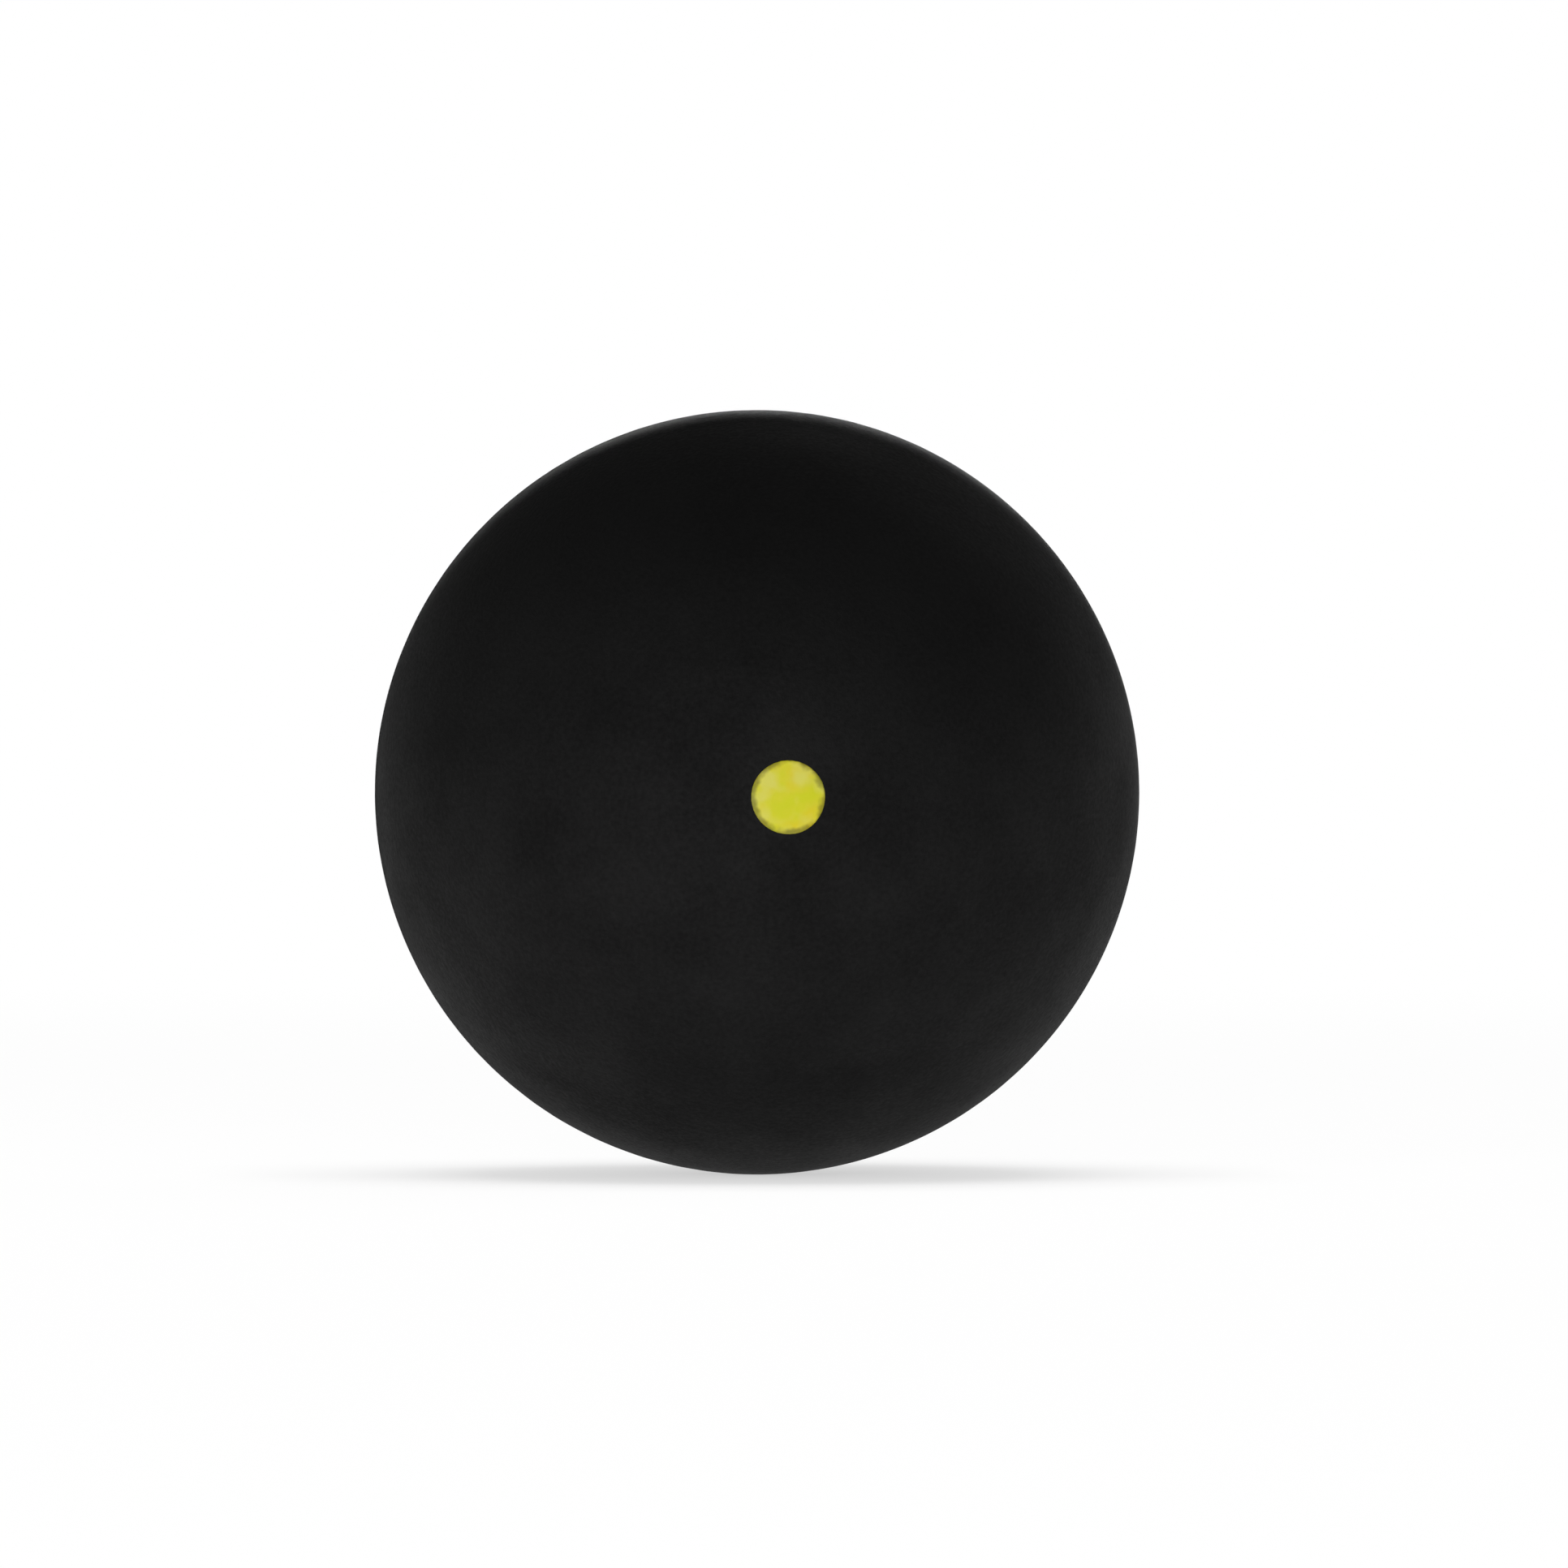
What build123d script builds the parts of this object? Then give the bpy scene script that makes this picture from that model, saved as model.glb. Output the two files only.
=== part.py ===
from build123d import *

import math
import os

# A squash ball: two moulded rubber half-shells, cemented rim to rim round trapped air,
# with one dot of ink printed on the front half.
# The origin is the centre of the ball and +Z is up.
# The dot is on the -Y pole, and the seam lies in the XZ plane.

# The ball, in millimetres
BALL_DIAMETER = 40.0  # outside of the rubber; a match ball is 39.5 to 40.5
WALL = 5.2  # rubber between the outside and the air; with this wall the ball weighs about 24 g

# The seam, in millimetres
CEMENT_FILM = 0.12  # cured cement between the two flat rims
RIM_BUFF_WIDTH = 0.10  # how far the buffed outer edge of a rim runs back from its flat
RIM_BUFF_DEPTH = 0.05  # how far that edge drops below the outside, which leaves the fine seam line
BEAD_BEVEL = 0.40  # bevel on the inner edge of a rim, where the cement gathers
BEAD_RISE = 0.25  # how far the bead of cement stands into the air

# The printed dot, in millimetres
DOT_DIAMETER = 3.8
INK_FILM = 0.04  # thickness of the ink
INK_TAPER = 0.06  # how far the edge of the ink slopes in from its foot to its top
INK_CLEARANCE = 0.005  # between the ink and the rubber, so that the two round faces never cut each other

# Rubber, in grams per cubic millimetre, for the printed weight
RUBBER_DENSITY = 0.0012

# Worked out from the sizes above
outer_radius = BALL_DIAMETER / 2
inner_radius = outer_radius - WALL
rim_offset = CEMENT_FILM / 2
bond_outer_radius = outer_radius - RIM_BUFF_DEPTH
bond_inner_radius = inner_radius + BEAD_BEVEL


def angle_to(reach, radius):
    """Angle in degrees, at the ball's centre, to a point on this radius that lies this far to the side."""
    return math.degrees(math.asin(reach / radius))


buff_angle = angle_to(rim_offset + RIM_BUFF_WIDTH, outer_radius)
bevel_angle = angle_to(rim_offset + BEAD_BEVEL, inner_radius)


def turned(*outline):
    """The solid that a closed outline sweeps in one turn about the ball's axis."""
    return revolve(make_face(outline), Axis.Y)


def make_front_half():
    """A bowl of even wall, with a flat rim, a buffed outer edge and a bevelled inner edge."""
    outside = CenterArc((0, 0), outer_radius, -90, 90 - buff_angle)
    inside = CenterArc((0, 0), inner_radius, -90, 90 - bevel_angle)
    rim = Line((bond_outer_radius, -rim_offset), (bond_inner_radius, -rim_offset))
    buffed_edge = Line(outside @ 1, rim @ 0)
    bevel = Line(rim @ 1, inside @ 1)
    wall_at_pole = Line(inside @ 0, outside @ 0)
    return turned(outside, buffed_edge, rim, bevel, inside, wall_at_pole)


def make_seam_cement():
    """A flat ring between the rims, which fills both bevels and rises into the air as a bead."""
    bead_front = Vector(inner_radius, 0).rotate(Axis.Z, -bevel_angle)
    bead_rear = Vector(inner_radius, 0).rotate(Axis.Z, bevel_angle)
    bead_crest = Vector(bead_front.X - BEAD_RISE, 0)
    bead = ThreePointArc(bead_front, bead_crest, bead_rear)
    outer_edge = Line((bond_outer_radius, -rim_offset), (bond_outer_radius, rim_offset))
    rear_bevel = Line(bead_rear, (bond_inner_radius, rim_offset))
    rear_rim = Line(rear_bevel @ 1, outer_edge @ 1)
    front_rim = Line(outer_edge @ 0, (bond_inner_radius, -rim_offset))
    front_bevel = Line(front_rim @ 1, bead_front)
    return turned(bead, rear_bevel, rear_rim, outer_edge, front_rim, front_bevel)


def make_yellow_dot():
    """An even film of ink on the front pole, with a sloping edge."""
    foot_radius = outer_radius + INK_CLEARANCE
    top_radius = foot_radius + INK_FILM
    foot = CenterArc((0, 0), foot_radius, -90, angle_to(DOT_DIAMETER / 2, foot_radius))
    top = CenterArc((0, 0), top_radius, -90, angle_to(DOT_DIAMETER / 2 - INK_TAPER, top_radius))
    edge = Line(foot @ 1, top @ 1)
    film_at_pole = Line(top @ 0, foot @ 0)
    return turned(foot, edge, top, film_at_pole)


front_half = make_front_half()
pieces = {
    "front_half_shell": front_half,
    "rear_half_shell": mirror(front_half, Plane.XZ),
    "seam_cement": make_seam_cement(),
    "yellow_dot": make_yellow_dot(),
}

os.makedirs("parts", exist_ok=True)
for name, piece in pieces.items():
    piece.label = name
    export_step(piece, f"parts/{name}.step")
    print(f"{name}: {piece.volume:.2f} cubic mm")

rubber_pieces = ("front_half_shell", "rear_half_shell", "seam_cement")
rubber_volume = sum(pieces[name].volume for name in rubber_pieces)
print(f"the rubber and cement weigh {rubber_volume * RUBBER_DENSITY:.2f} g")
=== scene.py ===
import math

import bpy
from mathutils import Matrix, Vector, noise


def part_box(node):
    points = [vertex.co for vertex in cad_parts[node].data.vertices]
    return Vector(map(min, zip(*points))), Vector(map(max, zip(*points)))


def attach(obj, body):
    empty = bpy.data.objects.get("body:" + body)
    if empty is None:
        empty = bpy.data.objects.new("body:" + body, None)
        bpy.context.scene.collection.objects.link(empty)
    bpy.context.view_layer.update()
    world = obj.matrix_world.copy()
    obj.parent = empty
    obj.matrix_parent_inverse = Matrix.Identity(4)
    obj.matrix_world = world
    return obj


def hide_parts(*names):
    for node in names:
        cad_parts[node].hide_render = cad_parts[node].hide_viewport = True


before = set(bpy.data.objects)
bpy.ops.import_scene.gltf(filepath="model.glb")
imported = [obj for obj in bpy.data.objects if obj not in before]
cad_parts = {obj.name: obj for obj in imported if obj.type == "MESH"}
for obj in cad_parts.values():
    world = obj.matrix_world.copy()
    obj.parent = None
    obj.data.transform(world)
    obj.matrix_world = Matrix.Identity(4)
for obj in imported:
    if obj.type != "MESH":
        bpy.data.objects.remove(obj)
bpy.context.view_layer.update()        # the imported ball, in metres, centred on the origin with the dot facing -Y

print("frame loaded:", ", ".join(sorted(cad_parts)))


def nearestPoint(nodeName):  # how near a solid comes to the ball's centre
    return min(v.co.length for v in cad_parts[nodeName].data.vertices)


halfLow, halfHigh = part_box("front_half_shell")
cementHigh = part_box("seam_cement")[1]
dotLow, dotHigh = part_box("yellow_dot")
ballRadius = -halfLow.y
airRadius = nearestPoint("front_half_shell")
rimOffset = -halfHigh.y  # from the seam plane to the flat rim of a half
bondOuter = cementHigh.x  # the cement's outer edge, a little under the surface
beadHalfWidth = cementHigh.y
bondInner = airRadius + beadHalfWidth - rimOffset  # where the flat rim ends and its inner bevel starts
bondMiddle = (bondOuter + bondInner) / 2
beadCrest = nearestPoint("seam_cement")
dotRadius = dotHigh.x
inkFilm = -dotLow.y - ballRadius
toMm = 1000
print(f"ball {2 * ballRadius * toMm:.2f} mm, wall {(ballRadius - airRadius) * toMm:.2f} mm")
print(f"dot {2 * dotRadius * toMm:.2f} mm wide, {inkFilm * toMm:.3f} mm high")


# Turned meshes: rings of points about the ball's axis, with fewer points where a ring is small

lathe = {
    "fewest": 8,  # points in the smallest ring
    "crowded": 0.75,  # a ring gets half the points once they lie closer than this share of its step
    "sharp": 40.0,  # degrees between two faces before their edge shows
}

bakeMap = {  # what shows fills the square, and what is hidden goes in its corner
    "shownMiddle": 0.5,
    "shownReach": 0.49,
    "hiddenMiddle": 0.08,
    "hiddenReach": 0.075,
}


def ringCounts(outline, most):
    counts = []
    for radius, _, step in outline:
        count = most
        while count > lathe["fewest"] and 2 * math.pi * radius / count < lathe["crowded"] * step:
            count //= 2
        counts.append(count if radius > 0 else 1)
    for order in (range(1, len(counts)), range(len(counts) - 2, -1, -1)):  # out along the rings and back
        for i in order:
            before = counts[i - order.step]
            if counts[i] > 1 and before > 1:
                counts[i] = min(counts[i], 2 * before)
    return counts


def bridge(a, b):  # faces between two rings, one of which may have twice the points of the other
    na, nb = len(a), len(b)
    if na == 1:
        return [(a[0], b[j], b[(j + 1) % nb]) for j in range(nb)]
    if nb == 1:
        return [(a[j], b[0], a[(j + 1) % na]) for j in range(na)]
    if na == nb:
        return [(a[j], b[j], b[(j + 1) % nb], a[(j + 1) % na]) for j in range(na)]
    faces = []
    if nb > na:
        for j in range(na):
            a0, a1 = a[j], a[(j + 1) % na]
            b0, b1, b2 = b[2 * j], b[2 * j + 1], b[(2 * j + 2) % nb]
            faces += [(a0, b0, b1), (a0, b1, a1), (a1, b1, b2)]
    else:
        for j in range(nb):
            a0, a1, a2 = a[2 * j], a[2 * j + 1], a[(2 * j + 2) % na]
            b0, b1 = b[j], b[(j + 1) % nb]
            faces += [(a0, b0, a1), (a1, b0, b1), (a1, b1, a2)]
    return faces


def along(outline, start, end, first, last):  # a value for each ring, in step with the outline's length
    lengths = [0.0]
    for (r0, h0, _), (r1, h1, _) in zip(outline[start:end], outline[start + 1:end + 1]):
        lengths.append(lengths[-1] + math.hypot(r1 - r0, h1 - h0))
    whole = lengths[-1]
    return {start + k: first + (last - first) * length / whole for k, length in enumerate(lengths)}


def layBakeMap(mesh, outline, hiddenFrom, spanOf, ringOf, angleOf):
    shown = along(outline, 0, hiddenFrom, 0.0, bakeMap["shownReach"])
    hidden = along(outline, hiddenFrom, len(outline) - 1, bakeMap["hiddenReach"], 0.0)
    layer = mesh.uv_layers.new(name="OFBake")
    for face in mesh.polygons:
        isShown = spanOf[face.index] < hiddenFrom
        reaches = shown if isShown else hidden
        middle = bakeMap["shownMiddle" if isShown else "hiddenMiddle"]
        for loop in face.loop_indices:
            point = mesh.loops[loop].vertex_index
            reach, angle = reaches[ringOf[point]], angleOf[point]
            layer.data[loop].uv = (middle + reach * math.cos(angle), middle + reach * math.sin(angle))


def turn(name, outline, most, shape, side=-1, closed=False, hiddenFrom=None):
    # outline holds (radius, height, step) from pole to pole, or round a ring if closed
    # shape(i, angle, point) gives the finished point; side is -1 towards the dot and 1 away from it
    points, rings, ringOf, angleOf = [], [], [], []
    for i, count in enumerate(ringCounts(outline, most)):
        radius, height, _ = outline[i]
        rings.append(range(len(points), len(points) + count))
        for j in range(count):
            angle = 2 * math.pi * j / count
            point = Vector((radius * math.cos(angle), side * height, radius * math.sin(angle)))
            points.append(shape(i, angle, point))
            ringOf.append(i)
            angleOf.append(angle)
    spans = list(zip(rings, rings[1:])) + ([(rings[-1], rings[0])] if closed else [])
    faces, spanOf = [], []
    for i, (a, b) in enumerate(spans):
        made = bridge(a, b)
        faces += made if side < 0 else [face[::-1] for face in made]
        spanOf += [i] * len(made)
    mesh = bpy.data.meshes.new(name)
    mesh.from_pydata(points, [], faces)
    if hiddenFrom:
        layBakeMap(mesh, outline, hiddenFrom, spanOf, ringOf, angleOf)
    mesh.shade_smooth()
    mesh.set_sharp_from_angle(angle=math.radians(lathe["sharp"]))
    piece = bpy.data.objects.new(name, mesh)
    bpy.context.scene.collection.objects.link(piece)
    return piece


def spoke(angle):  # straight out from the ball's axis
    return Vector((math.cos(angle), 0, math.sin(angle)))


def ringNoise(angle, lumps, start):  # a noise that closes on itself after one turn
    return noise.noise(lumps * spoke(angle) + Vector((0, start, 0)))


ballPieces = []


def dress(piece, finish, nodeName):
    ballPieces.append(piece)
    piece.data.materials.append(finish)
    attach(piece, "root")
    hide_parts(nodeName)
    print(f"{piece.name} stands for {nodeName}, {len(piece.data.polygons)} faces")


# Node helpers

noiseLow, noiseHigh = 0.36, 0.64  # most of a noise texture's values lie between these
firstColour, secondColour, mixedColour = 6, 7, 2  # the Mix node's sockets for colours go by number


def node(tree, kind, inputs=(), **settings):
    made = tree.nodes.new("ShaderNode" + kind)
    for key, value in settings.items():
        setattr(made, key, value)
    for key, value in dict(inputs).items():
        if isinstance(value, bpy.types.NodeSocket):
            tree.links.new(value, made.inputs[key])
        else:
            made.inputs[key].default_value = value
    return made


def newFinish(name):
    finish = bpy.data.materials.new(name)
    finish.use_nodes = True
    tree = finish.node_tree
    tree.nodes.clear()
    place = node(tree, "TexCoord").outputs["Object"]
    return finish, tree, place


def grain(tree, place, size, detail=2.0, rough=0.5):  # a noise whose lumps are about this size in metres
    made = node(tree, "TexNoise", {"Vector": place, "Scale": 1 / size, "Detail": detail, "Roughness": rough})
    return made.outputs["Fac"]


def ramp(tree, fac, *colours):  # colours spread evenly over the range of a noise
    made = node(tree, "ValToRGB", {"Fac": fac})
    elements = made.color_ramp.elements
    while len(elements) < len(colours):
        elements.new(noiseHigh)  # each gets its own position below
    for k, (element, colour) in enumerate(zip(elements, colours)):
        element.position = noiseLow + (noiseHigh - noiseLow) * k / (len(colours) - 1)
        element.color = (*colour, 1)
    return made.outputs["Color"]


def spanned(tree, value, low, high, toLow, toHigh, curve="LINEAR"):
    inputs = {"Value": value, "From Min": low, "From Max": high, "To Min": toLow, "To Max": toHigh}
    return node(tree, "MapRange", inputs, interpolation_type=curve).outputs["Result"]


def maths(tree, operation, *values):
    return node(tree, "Math", dict(enumerate(values)), operation=operation).outputs["Value"]


def mixed(tree, share, first, second):  # a colour between two, the second as a plain value
    inputs = {"Factor": share, firstColour: first, secondColour: (*second, 1)}
    return node(tree, "Mix", inputs, data_type="RGBA").outputs[mixedColour]


def surface(tree, colour, roughness, height, shine):  # height in metres
    bump = node(tree, "Bump", {"Height": height, "Distance": 1.0, "Strength": 1.0})
    inputs = {"Base Color": colour, "Roughness": roughness, "Normal": bump.outputs["Normal"]}
    shader = node(tree, "BsdfPrincipled", {**inputs, "Specular IOR Level": shine})
    node(tree, "OutputMaterial", {"Surface": shader.outputs["BSDF"]})


# Black rubber, buffed matte all over, with the marks of the buffing wheel along the seam

rubberLook = {
    "dark": (0.0024, 0.0024, 0.0024),
    "pale": (0.0046, 0.0046, 0.0046),
    "roughLow": 0.72,
    "roughHigh": 0.90,
    "shine": 0.14,
    "grainSize": 0.00024,
    "grainDetail": (4.0, 0.6),  # octaves of the noise, and how much the finer ones count
    "grainHeight": 0.000034,
    "cloudSize": 0.006,  # slow change from duller to paler rubber
    "cloudDetail": (3.0, 0.55),
    "pitSpacing": 0.0016,  # a few shallow pits that the mould left
    "pitWidth": 0.00018,
    "pitDepth": 0.000014,
    "buffWidth": 0.0013,  # how far from the seam the wheel ran
    "streakLength": 0.0025,
    "streakWidth": 0.00007,
    "streakHeight": 0.000010,
    "streakDull": 0.16,
}


def buffedRubber():
    look = rubberLook
    finish, tree, place = newFinish("buffedBlackRubber")
    fine = grain(tree, place, look["grainSize"], *look["grainDetail"])
    cloud = grain(tree, place, look["cloudSize"], *look["cloudDetail"])
    shade = maths(tree, "MULTIPLY", maths(tree, "ADD", fine, cloud), 0.5)  # the mean of both

    cells = node(tree, "TexVoronoi", {"Vector": place, "Scale": 1 / look["pitSpacing"]})
    pitReach = look["pitWidth"] / look["pitSpacing"] / 2
    pits = spanned(tree, cells.outputs["Distance"], 0.0, pitReach, look["pitDepth"], 0.0, "SMOOTHSTEP")

    fromSeam = maths(tree, "ABSOLUTE", node(tree, "SeparateXYZ", {"Vector": place}).outputs["Y"])
    buffed = spanned(tree, fromSeam, look["buffWidth"] / 2, look["buffWidth"], 1.0, 0.0, "SMOOTHSTEP")
    stretch = (1 / look["streakLength"], 1 / look["streakWidth"], 1 / look["streakLength"])
    strokes = node(tree, "Mapping", {"Vector": place, "Scale": stretch}).outputs["Vector"]
    streaks = maths(tree, "MULTIPLY", grain(tree, strokes, 1.0), buffed)  # the stretch has set their size

    grains = maths(tree, "MULTIPLY_ADD", fine, look["grainHeight"], maths(tree, "MULTIPLY", pits, -1.0))
    height = maths(tree, "MULTIPLY_ADD", streaks, look["streakHeight"], grains)
    colour = ramp(tree, shade, look["dark"], look["pale"])
    roughness = spanned(tree, shade, noiseLow, noiseHigh, look["roughHigh"], look["roughLow"])
    roughness = maths(tree, "MULTIPLY_ADD", streaks, look["streakDull"], roughness)
    surface(tree, colour, roughness, height, look["shine"])
    return finish


# Cured cement in the seam, a little smoother than the buffed rubber

cementLook = {
    "dark": (0.0055, 0.0052, 0.0050),
    "pale": (0.0110, 0.0104, 0.0098),
    "roughLow": 0.42,
    "roughHigh": 0.60,
    "shine": 0.18,
    "lumpSize": 0.0004,
    "lumpDetail": (3.0, 0.55),
    "lumpHeight": 0.00001,
}


def curedCement():
    look = cementLook
    finish, tree, place = newFinish("curedSeamCement")
    lumps = grain(tree, place, look["lumpSize"], *look["lumpDetail"])
    colour = ramp(tree, lumps, look["dark"], look["pale"])
    roughness = spanned(tree, lumps, noiseLow, noiseHigh, look["roughLow"], look["roughHigh"])
    height = maths(tree, "MULTIPLY", lumps, look["lumpHeight"])
    surface(tree, colour, roughness, height, look["shine"])
    return finish


# Lemon yellow ink: printed unevenly, in deeper and paler patches and thin at the edge; across the dot it is paler
# towards the -X side

inkLook = {
    "green": (0.507, 0.520, 0.009),
    "lemon": (0.545, 0.509, 0.018),
    "gold": (0.576, 0.482, 0.011),
    "pale": (0.557, 0.525, 0.080),
    "bare": (0.030, 0.026, 0.004),  # where the black rubber shows through
    "patchSize": 0.0014,
    "paleSize": 0.0013,
    "paleFrom": 0.44,  # noise values between which the ink turns pale
    "paleFull": 0.70,
    "paleSide": 0.09,  # how much paler the -X side is, as a shift of that noise
    "paleRim": 0.04,  # and how much paler the ink is towards its edge
    "shift": (-0.0177, -0.0350, 0.0316),  # which stretch of the noise falls on the dot
    "thinFrom": 0.83,  # share of the radius where the ink starts to thin out
    "thinMost": 0.60,
    "thinWander": 0.07,  # how unevenly it does so round the edge
    "thinSize": 0.0008,
    "speckSize": 0.00012,
    "speckDetail": (3.0, 0.6),
    "speckHeight": 0.000004,
    "roughLow": 0.46,
    "roughHigh": 0.62,
    "shine": 0.15,
}


def yellowInk():
    look = inkLook
    finish, tree, place = newFinish("printedYellowInk")
    moved = node(tree, "Mapping", {"Vector": place, "Location": look["shift"]}).outputs["Vector"]
    patches = grain(tree, moved, look["patchSize"])
    colour = ramp(tree, patches, look["green"], look["lemon"], look["gold"])

    across = node(tree, "SeparateXYZ", {"Vector": place}).outputs
    reach = maths(tree, "SQRT", maths(tree, "ADD", *[maths(tree, "POWER", across[c], 2.0) for c in "XZ"]))
    lean = spanned(tree, across["X"], -dotRadius, dotRadius, look["paleSide"], -look["paleSide"])
    rim = spanned(tree, reach, 0.0, dotRadius, -look["paleRim"], look["paleRim"])
    cloudy = maths(tree, "ADD", grain(tree, moved, look["paleSize"]), maths(tree, "ADD", lean, rim))
    paleness = spanned(tree, cloudy, look["paleFrom"], look["paleFull"], 0.0, 1.0, "SMOOTHSTEP")
    colour = mixed(tree, paleness, colour, look["pale"])

    uneven = grain(tree, moved, look["thinSize"])
    wander = spanned(tree, uneven, noiseLow, noiseHigh, -look["thinWander"], look["thinWander"])
    share = maths(tree, "MULTIPLY_ADD", reach, 1 / dotRadius, wander)
    thinness = spanned(tree, share, look["thinFrom"], 1.0, 0.0, look["thinMost"], "SMOOTHSTEP")
    colour = mixed(tree, thinness, colour, look["bare"])

    specks = grain(tree, place, look["speckSize"], *look["speckDetail"])
    roughness = spanned(tree, specks, noiseLow, noiseHigh, look["roughLow"], look["roughHigh"])
    height = maths(tree, "MULTIPLY", specks, look["speckHeight"])
    surface(tree, colour, roughness, height, look["shine"])
    return finish


print("finishes: buffed rubber, cured cement and yellow ink")


# The two half-shells

halfShell = {
    "rimPoints": 512,
    "ringStep": 0.00025,
    "seamStep": 0.00008,  # finer rings beside the seam
    "seamBand": 0.0012,
    "airStep": 0.0012,  # coarse rings inside, where nothing is seen
    "edgeWidth": 0.00010,  # the buffed edge of the rim
    "edgeRings": 4,
    "edgeWander": 0.4,  # how unevenly that edge is buffed, as a share of its depth
    "edgeLumps": 40,
    "ruckHeight": 0.000008,  # low swellings along the seam
    "ruckReach": 0.0006,
    "ruckLumps": 25,
    "peelSize": 0.0008,  # the rubber's faint unevenness everywhere else
    "peelHeight": 0.000004,
    "peelFractal": (0.9, 2.1, 2),  # fall-off, step and count of its octaves
}


def shellOutline():
    sizes = halfShell
    edgeAngle = math.acos((rimOffset + sizes["edgeWidth"]) / ballRadius)
    arc = ballRadius * edgeAngle
    wide = round((arc - sizes["seamBand"]) / sizes["ringStep"])
    narrow = round(sizes["seamBand"] / sizes["seamStep"])
    stops = [(arc - sizes["seamBand"]) * k / wide for k in range(wide)]
    stops += [arc - sizes["seamBand"] * (1 - k / narrow) for k in range(narrow + 1)]
    outline = []
    for stop in stops:
        angle = stop / ballRadius
        outline.append((ballRadius * math.sin(angle), ballRadius * math.cos(angle), sizes["ringStep"]))

    edgeStart = len(outline) - 1
    edgeRadius = outline[edgeStart][0]
    for k in range(1, sizes["edgeRings"] + 1):
        angle = math.pi / 2 * k / sizes["edgeRings"]
        radius = bondOuter + (edgeRadius - bondOuter) * math.cos(angle)
        height = rimOffset + sizes["edgeWidth"] * (1 - math.sin(angle))
        outline.append((radius, height, sizes["ringStep"]))
    outline.append((bondMiddle, rimOffset, sizes["airStep"]))
    outline.append((bondInner, rimOffset, sizes["airStep"]))

    hiddenFrom = len(outline) - 1
    bevelAngle = math.acos(beadHalfWidth / airRadius)
    inward = round(airRadius * bevelAngle / sizes["airStep"])
    for k in range(inward, -1, -1):
        angle = bevelAngle * k / inward
        outline.append((airRadius * math.sin(angle), airRadius * math.cos(angle), sizes["airStep"]))
    return outline, edgeStart, hiddenFrom


def makeHalfShell(name, side, finish, nodeName):
    sizes = halfShell
    outline, edgeStart, hiddenFrom = shellOutline()
    edgeDepth = ballRadius - bondOuter

    def shape(i, angle, point):
        if i <= edgeStart:
            peel = sizes["peelHeight"] * noise.fractal(point / sizes["peelSize"], *sizes["peelFractal"])
            nearSeam = math.exp(-(point.y / sizes["ruckReach"]) ** 2)
            ruck = sizes["ruckHeight"] * nearSeam * ringNoise(angle, sizes["ruckLumps"], side)
            return point * (1 + (peel + ruck) / ballRadius)
        if i <= edgeStart + sizes["edgeRings"]:
            wander = sizes["edgeWander"] * ringNoise(angle, sizes["edgeLumps"], side)
            return point + edgeDepth * wander * (i - edgeStart) / sizes["edgeRings"] * spoke(angle)
        return point

    piece = turn(name, outline, sizes["rimPoints"], shape, side, hiddenFrom=hiddenFrom)
    dress(piece, finish, nodeName)


rubber = buffedRubber()
makeHalfShell("frontRubberHalf", -1, rubber, "front_half_shell")
makeHalfShell("rearRubberHalf", 1, rubber, "rear_half_shell")


# The cement ring, seen only as a fine line round the ball

seamCement = {
    "points": 512,
    "lipDrop": 0.3,  # how far its outer corners are rounded down, as a share of half the film
    "rise": 0.00002,  # how far the cement stands up from the solid's edge, at most
    "riseLumps": 60,
    "riseStart": 9.0,  # which stretch of the noise is used
    "beadSteps": 8,
}


def makeSeamCement(finish):
    sizes = seamCement
    step = 2 * math.pi * ballRadius / sizes["points"]
    beadRadius = math.sqrt(airRadius ** 2 - beadHalfWidth ** 2)
    lip = bondOuter - sizes["lipDrop"] * rimOffset
    lips = [(lip, rimOffset), (bondOuter, rimOffset / 2), (bondOuter, -rimOffset / 2), (lip, -rimOffset)]
    bead = []
    for k in range(sizes["beadSteps"] + 1):
        angle = math.pi * (k / sizes["beadSteps"] - 0.5)
        radius = beadRadius - (beadRadius - beadCrest) * math.cos(angle)
        bead.append((radius, beadHalfWidth * math.sin(angle)))
    rearFlat = [(bondMiddle, -rimOffset), (bondInner, -rimOffset)]
    frontFlat = [(bondInner, rimOffset), (bondMiddle, rimOffset)]
    outline = [(radius, height, step) for radius, height in lips + rearFlat + bead + frontFlat]

    def shape(i, angle, point):
        if i >= len(lips):
            return point
        swell = (1 + ringNoise(angle, sizes["riseLumps"], sizes["riseStart"])) / 2
        return point + sizes["rise"] * swell * spoke(angle)

    piece = turn("seamCementRing", outline, sizes["points"], shape, closed=True)
    dress(piece, finish, "seam_cement")


makeSeamCement(curedCement())


# The printed dot

yellowDot = {
    "rimPoints": 256,
    "ringStep": 0.00005,
    "edgeWidth": 0.00008,  # the film rounds off over this width
    "edgeRings": 6,
    "footRings": 5,
    "sink": 0.000006,  # how far the foot sits in the grain of the rubber
    "lobes": 0.010,  # slow wander of the edge, as a share of the radius
    "lobeLumps": 1.4,
    "lobeStart": 3.0,
    "ragged": 0.006,  # quick wander of the edge
    "raggedLumps": 14,
    "raggedStart": 7.0,
    "wanderPower": 4,  # how fast both wanders fade from the edge inward
    "body": 0.9,  # thickness of the film, as a share of the solid's
    "lip": 0.10,  # the thicker ring near the edge
    "lipAt": 0.93,
    "lipWidth": 0.035,
    "uneven": 0.08,
    "unevenSize": 0.0005,
}


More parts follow.
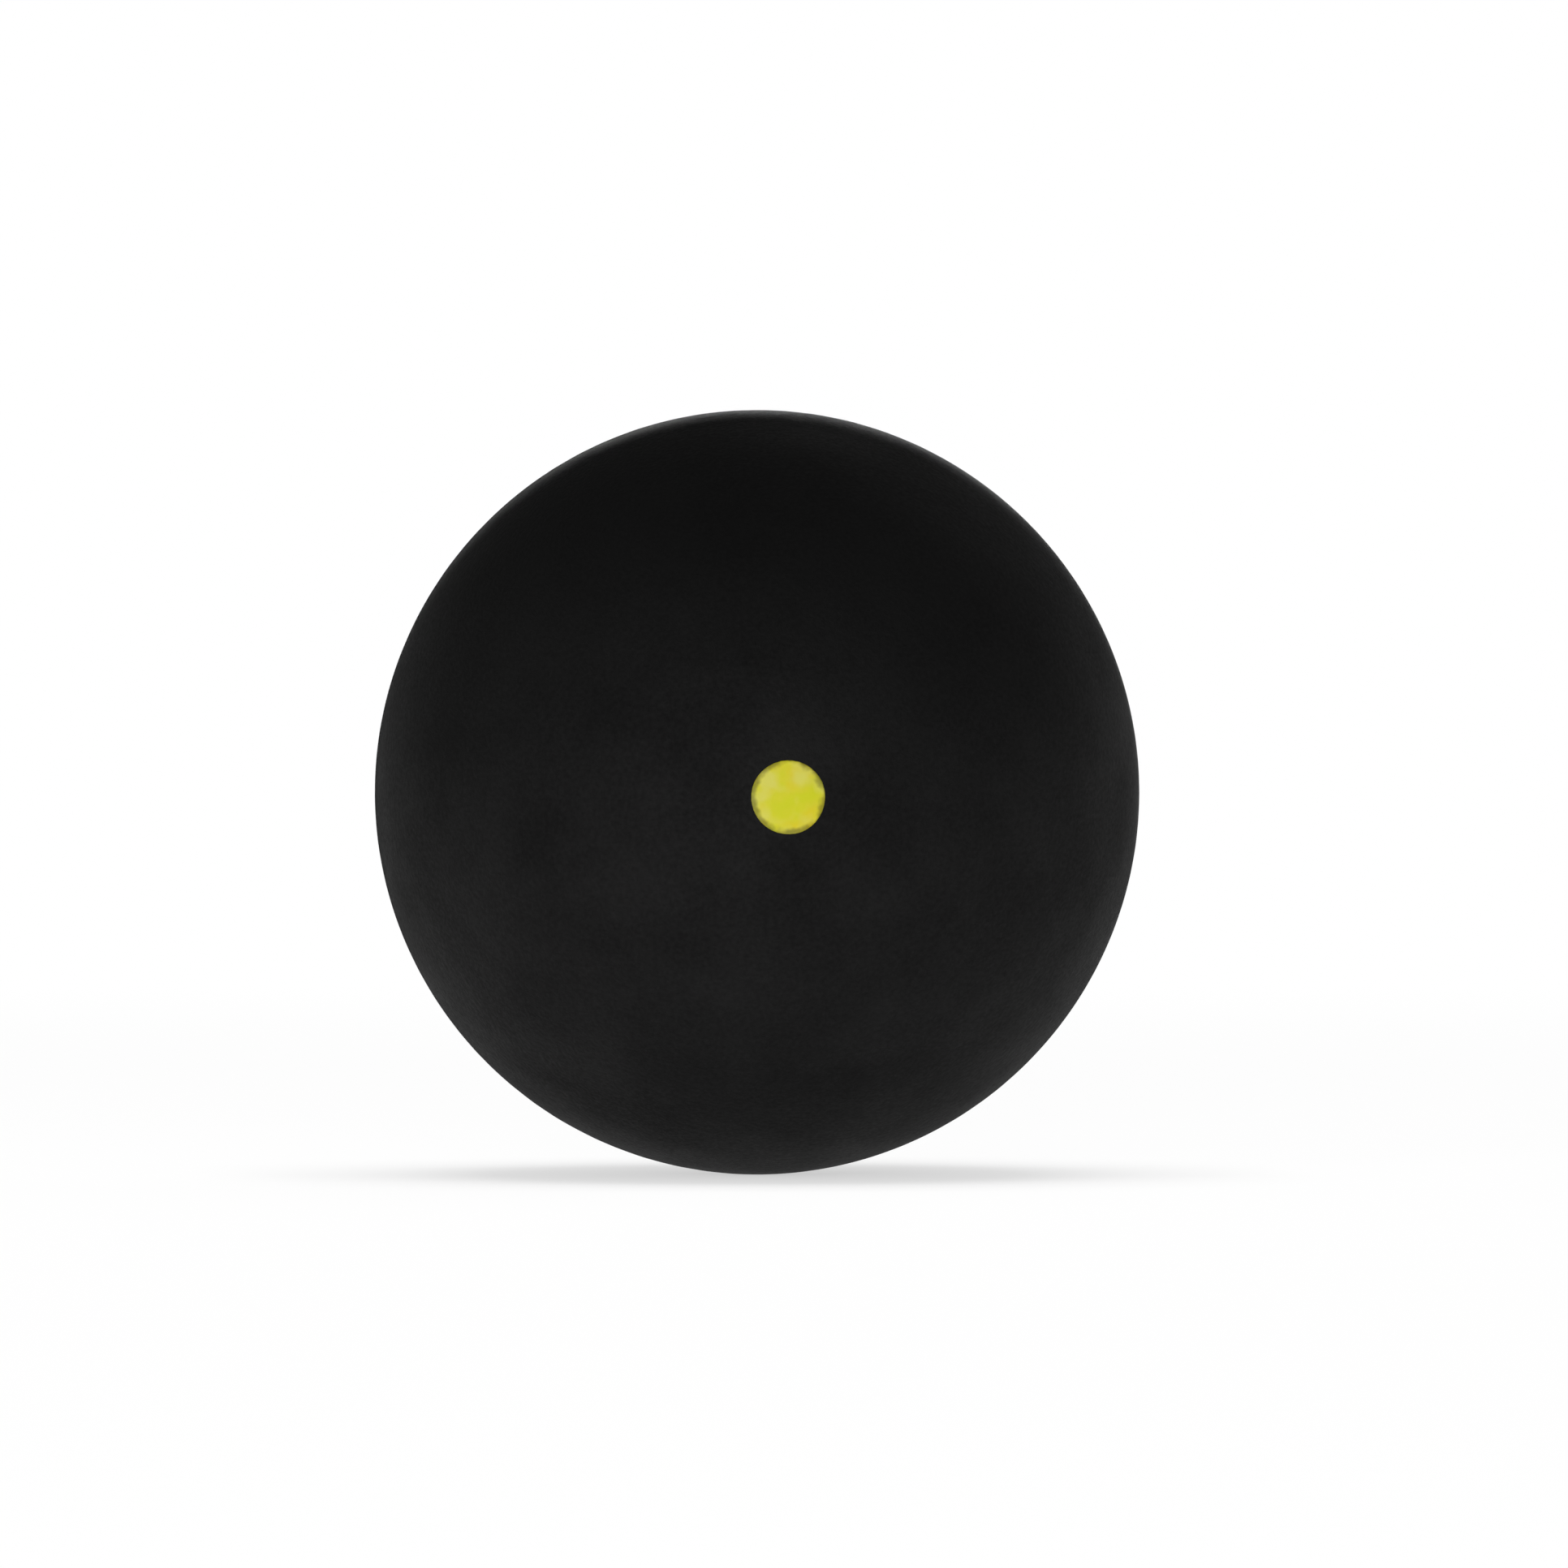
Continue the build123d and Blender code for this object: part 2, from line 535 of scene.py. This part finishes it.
def makeYellowDot(finish):
    sizes = yellowDot
    flat = dotRadius - sizes["edgeWidth"]
    flatRings = round(flat / sizes["ringStep"])
    outline = [(flat * k / flatRings, inkFilm, sizes["ringStep"]) for k in range(flatRings)]
    for k in range(sizes["edgeRings"] + 1):
        angle = math.pi / 2 * k / sizes["edgeRings"]
        radius = flat + sizes["edgeWidth"] * math.sin(angle)
        outline.append((radius, inkFilm * math.cos(angle), sizes["ringStep"]))
    hiddenFrom = len(outline) - 1
    for k in range(sizes["footRings"], -1, -1):
        radius = dotRadius * k / (sizes["footRings"] + 1)
        outline.append((radius, 0.0, dotRadius / sizes["footRings"]))

    def shape(i, angle, point):
        radius, film, _ = outline[i]
        share = radius / dotRadius
        slow = sizes["lobes"] * ringNoise(angle, sizes["lobeLumps"], sizes["lobeStart"])
        quick = sizes["ragged"] * ringNoise(angle, sizes["raggedLumps"], sizes["raggedStart"])
        reach = radius * (1 + share ** sizes["wanderPower"] * (slow + quick))
        foot = reach * spoke(angle) - Vector((0, math.sqrt(ballRadius ** 2 - reach ** 2), 0))
        lip = sizes["lip"] * math.exp(-((share - sizes["lipAt"]) / sizes["lipWidth"]) ** 2)
        uneven = sizes["uneven"] * noise.noise(foot / sizes["unevenSize"])
        rise = film * (sizes["body"] + lip + uneven) - sizes["sink"] * (1 - film / inkFilm)
        return foot * (1 + rise / ballRadius)

    piece = turn("yellowInkDot", outline, sizes["rimPoints"], shape, hiddenFrom=hiddenFrom)
    dress(piece, finish, "yellow_dot")


makeYellowDot(yellowInk())


# Pale floor: white to the camera and in reflections, apart from the ball's shadow

plainWhite = (1, 1, 1, 1)

floorLook = {
    "size": 6.0,
    "colour": (0.95, 0.95, 0.95),
    "contact": 0.55,  # share of plain white right under the ball, where its shadow is deepest
    "contactReach": 0.045,
    "shadowNear": 0.08,  # out to here the floor shows its own light and shade
    "shadowFar": 0.45,  # and from here on it is plain white
    "lift": 0.76,  # share of plain white near the ball
}


def makeFloor():
    look = floorLook
    half = look["size"] / 2
    mesh = bpy.data.meshes.new("paleFloor")
    corners = [(-half, -half, 0), (half, -half, 0), (half, half, 0), (-half, half, 0)]
    mesh.from_pydata(corners, [], [(0, 1, 2, 3)])
    floor = bpy.data.objects.new("paleFloor", mesh)
    floor.location.z = -ballRadius
    bpy.context.scene.collection.objects.link(floor)

    finish, tree, place = newFinish("paleFloor")
    reach = node(tree, "VectorMath", {0: place}, operation="LENGTH").outputs["Value"]
    around = spanned(tree, reach, look["shadowNear"], look["shadowFar"], look["lift"], 1.0, "SMOOTHSTEP")
    under = spanned(tree, reach, 0.0, look["contactReach"], look["contact"], 1.0)
    path = node(tree, "LightPath").outputs
    straight = maths(tree, "MULTIPLY", path["Is Camera Ray"], maths(tree, "MINIMUM", around, under))
    mirrored = maths(tree, "MAXIMUM", path["Is Glossy Ray"], path["Is Transmission Ray"])
    share = maths(tree, "MAXIMUM", straight, maths(tree, "MULTIPLY", mirrored, around))
    diffuse = node(tree, "BsdfDiffuse", {"Color": (*look["colour"], 1)})
    white = node(tree, "Emission", {"Color": plainWhite, "Strength": 1.0})
    both = node(tree, "MixShader", {0: share, 1: diffuse.outputs[0], 2: white.outputs[0]})
    node(tree, "OutputMaterial", {"Surface": both.outputs[0]})
    mesh.materials.append(finish)
    return floor


# Soft studio light: low white walls all round, a dark ceiling and a few soft lamps

studio = {
    "wall": 1.0,
    "ceiling": 0.01,
    "wallTop": 4.0,  # degrees above the horizon where the white wall starts to darken
    "ceilingFrom": 12.0,
    "lampDistance": 0.9,
    "lamps": [  # azimuth in degrees from the front towards +X, then height
        {"name": "front", "azimuth": -8, "height": 3, "size": 0.3, "power": 4.5},
        {"name": "left", "azimuth": -40, "height": 4, "size": 0.3, "power": 2.0},
        {"name": "backRight", "azimuth": 130, "height": 8, "size": 0.5, "power": 0.35},
        {"name": "backTop", "azimuth": 155, "height": 45, "size": 0.5, "power": 0.42},
        {"name": "behind", "azimuth": 175, "height": 7, "size": 0.25, "power": 5.0, "only": "ball"},
        {"name": "overFloor", "azimuth": 0, "height": 90, "size": 0.7, "power": 8.8, "only": "floor"},
    ],
}


def outward(azimuth, height):  # a direction from the ball, both angles in degrees
    a, h = math.radians(azimuth), math.radians(height)
    return Vector((math.sin(a) * math.cos(h), -math.cos(a) * math.cos(h), math.sin(h)))


def aimAtBall(thing, direction, distance):
    thing.location = distance * direction
    thing.rotation_euler = (-direction).to_track_quat("-Z", "Y").to_euler()
    bpy.context.scene.collection.objects.link(thing)


def makeRoom():
    world = bpy.data.worlds.new("studio")
    bpy.context.scene.world = world
    world.use_nodes = True
    tree = world.node_tree
    tree.nodes.clear()
    ray = node(tree, "TexCoord").outputs["Generated"]
    up = node(tree, "SeparateXYZ", {"Vector": ray}).outputs["Z"]
    low, high = [math.sin(math.radians(studio[name])) for name in ("wallTop", "ceilingFrom")]
    level = spanned(tree, up, low, high, studio["wall"], studio["ceiling"], "SMOOTHSTEP")
    room = node(tree, "Background", {"Color": plainWhite, "Strength": level})
    node(tree, "OutputWorld", {"Surface": room.outputs[0]})


def makeLamps(floor):
    lit = {}  # what a lamp that lights one thing only is kept to
    for name, things in (("ball", ballPieces), ("floor", [floor])):
        lit[name] = bpy.data.collections.new(name + "Alone")
        for thing in things:
            lit[name].objects.link(thing)
    for lamp in studio["lamps"]:
        light = bpy.data.lights.new(lamp["name"], "AREA")
        light.shape = "SQUARE"
        light.size = lamp["size"]
        light.energy = lamp["power"]
        made = bpy.data.objects.new(lamp["name"], light)
        made.visible_camera = False
        if "only" in lamp:
            made.light_linking.receiver_collection = lit[lamp["only"]]
        aimAtBall(made, outward(lamp["azimuth"], lamp["height"]), studio["lampDistance"])


floor = makeFloor()
makeRoom()
makeLamps(floor)
print("floor, walls and", len(studio["lamps"]), "lamps set")


# Camera, from where the ball and its dot lie in the 1932 pixel photograph

photoView = {
    "frame": 1932,
    "ballCentre": (932.8, 976.2),
    "ballRadius": 471.0,
    "dotCentre": (971.5, 982.3),
    "distance": 1.0,
    "sensor": 36.0,
    "clip": (0.01, 20.0),
}


def makeCamera():
    view = photoView
    toOutline = math.sqrt(view["distance"] ** 2 - ballRadius ** 2)  # from the camera to the ball's outline
    focal = view["ballRadius"] * toOutline / ballRadius  # in pixels
    perPixel = (view["distance"] - ballRadius) / focal  # metres across one pixel, at the dot
    aside = [perPixel * (d - b) / ballRadius for d, b in zip(view["dotCentre"], view["ballCentre"])]
    azimuth, height = -math.degrees(math.asin(aside[0])), math.degrees(math.asin(aside[1]))
    lens = bpy.data.cameras.new("photoCamera")
    lens.sensor_width = view["sensor"]
    lens.lens = focal * view["sensor"] / view["frame"]
    lens.shift_x = 0.5 - view["ballCentre"][0] / view["frame"]  # from the middle of the frame
    lens.shift_y = view["ballCentre"][1] / view["frame"] - 0.5
    lens.clip_start, lens.clip_end = view["clip"]
    camera = bpy.data.objects.new("photoCamera", lens)
    aimAtBall(camera, outward(azimuth, height), view["distance"])
    bpy.context.scene.camera = camera
    print(f"camera at azimuth {azimuth:.2f}, height {height:.2f} degrees, lens {lens.lens:.0f} mm")


makeCamera()
bpy.context.scene.view_settings.view_transform = "Standard"
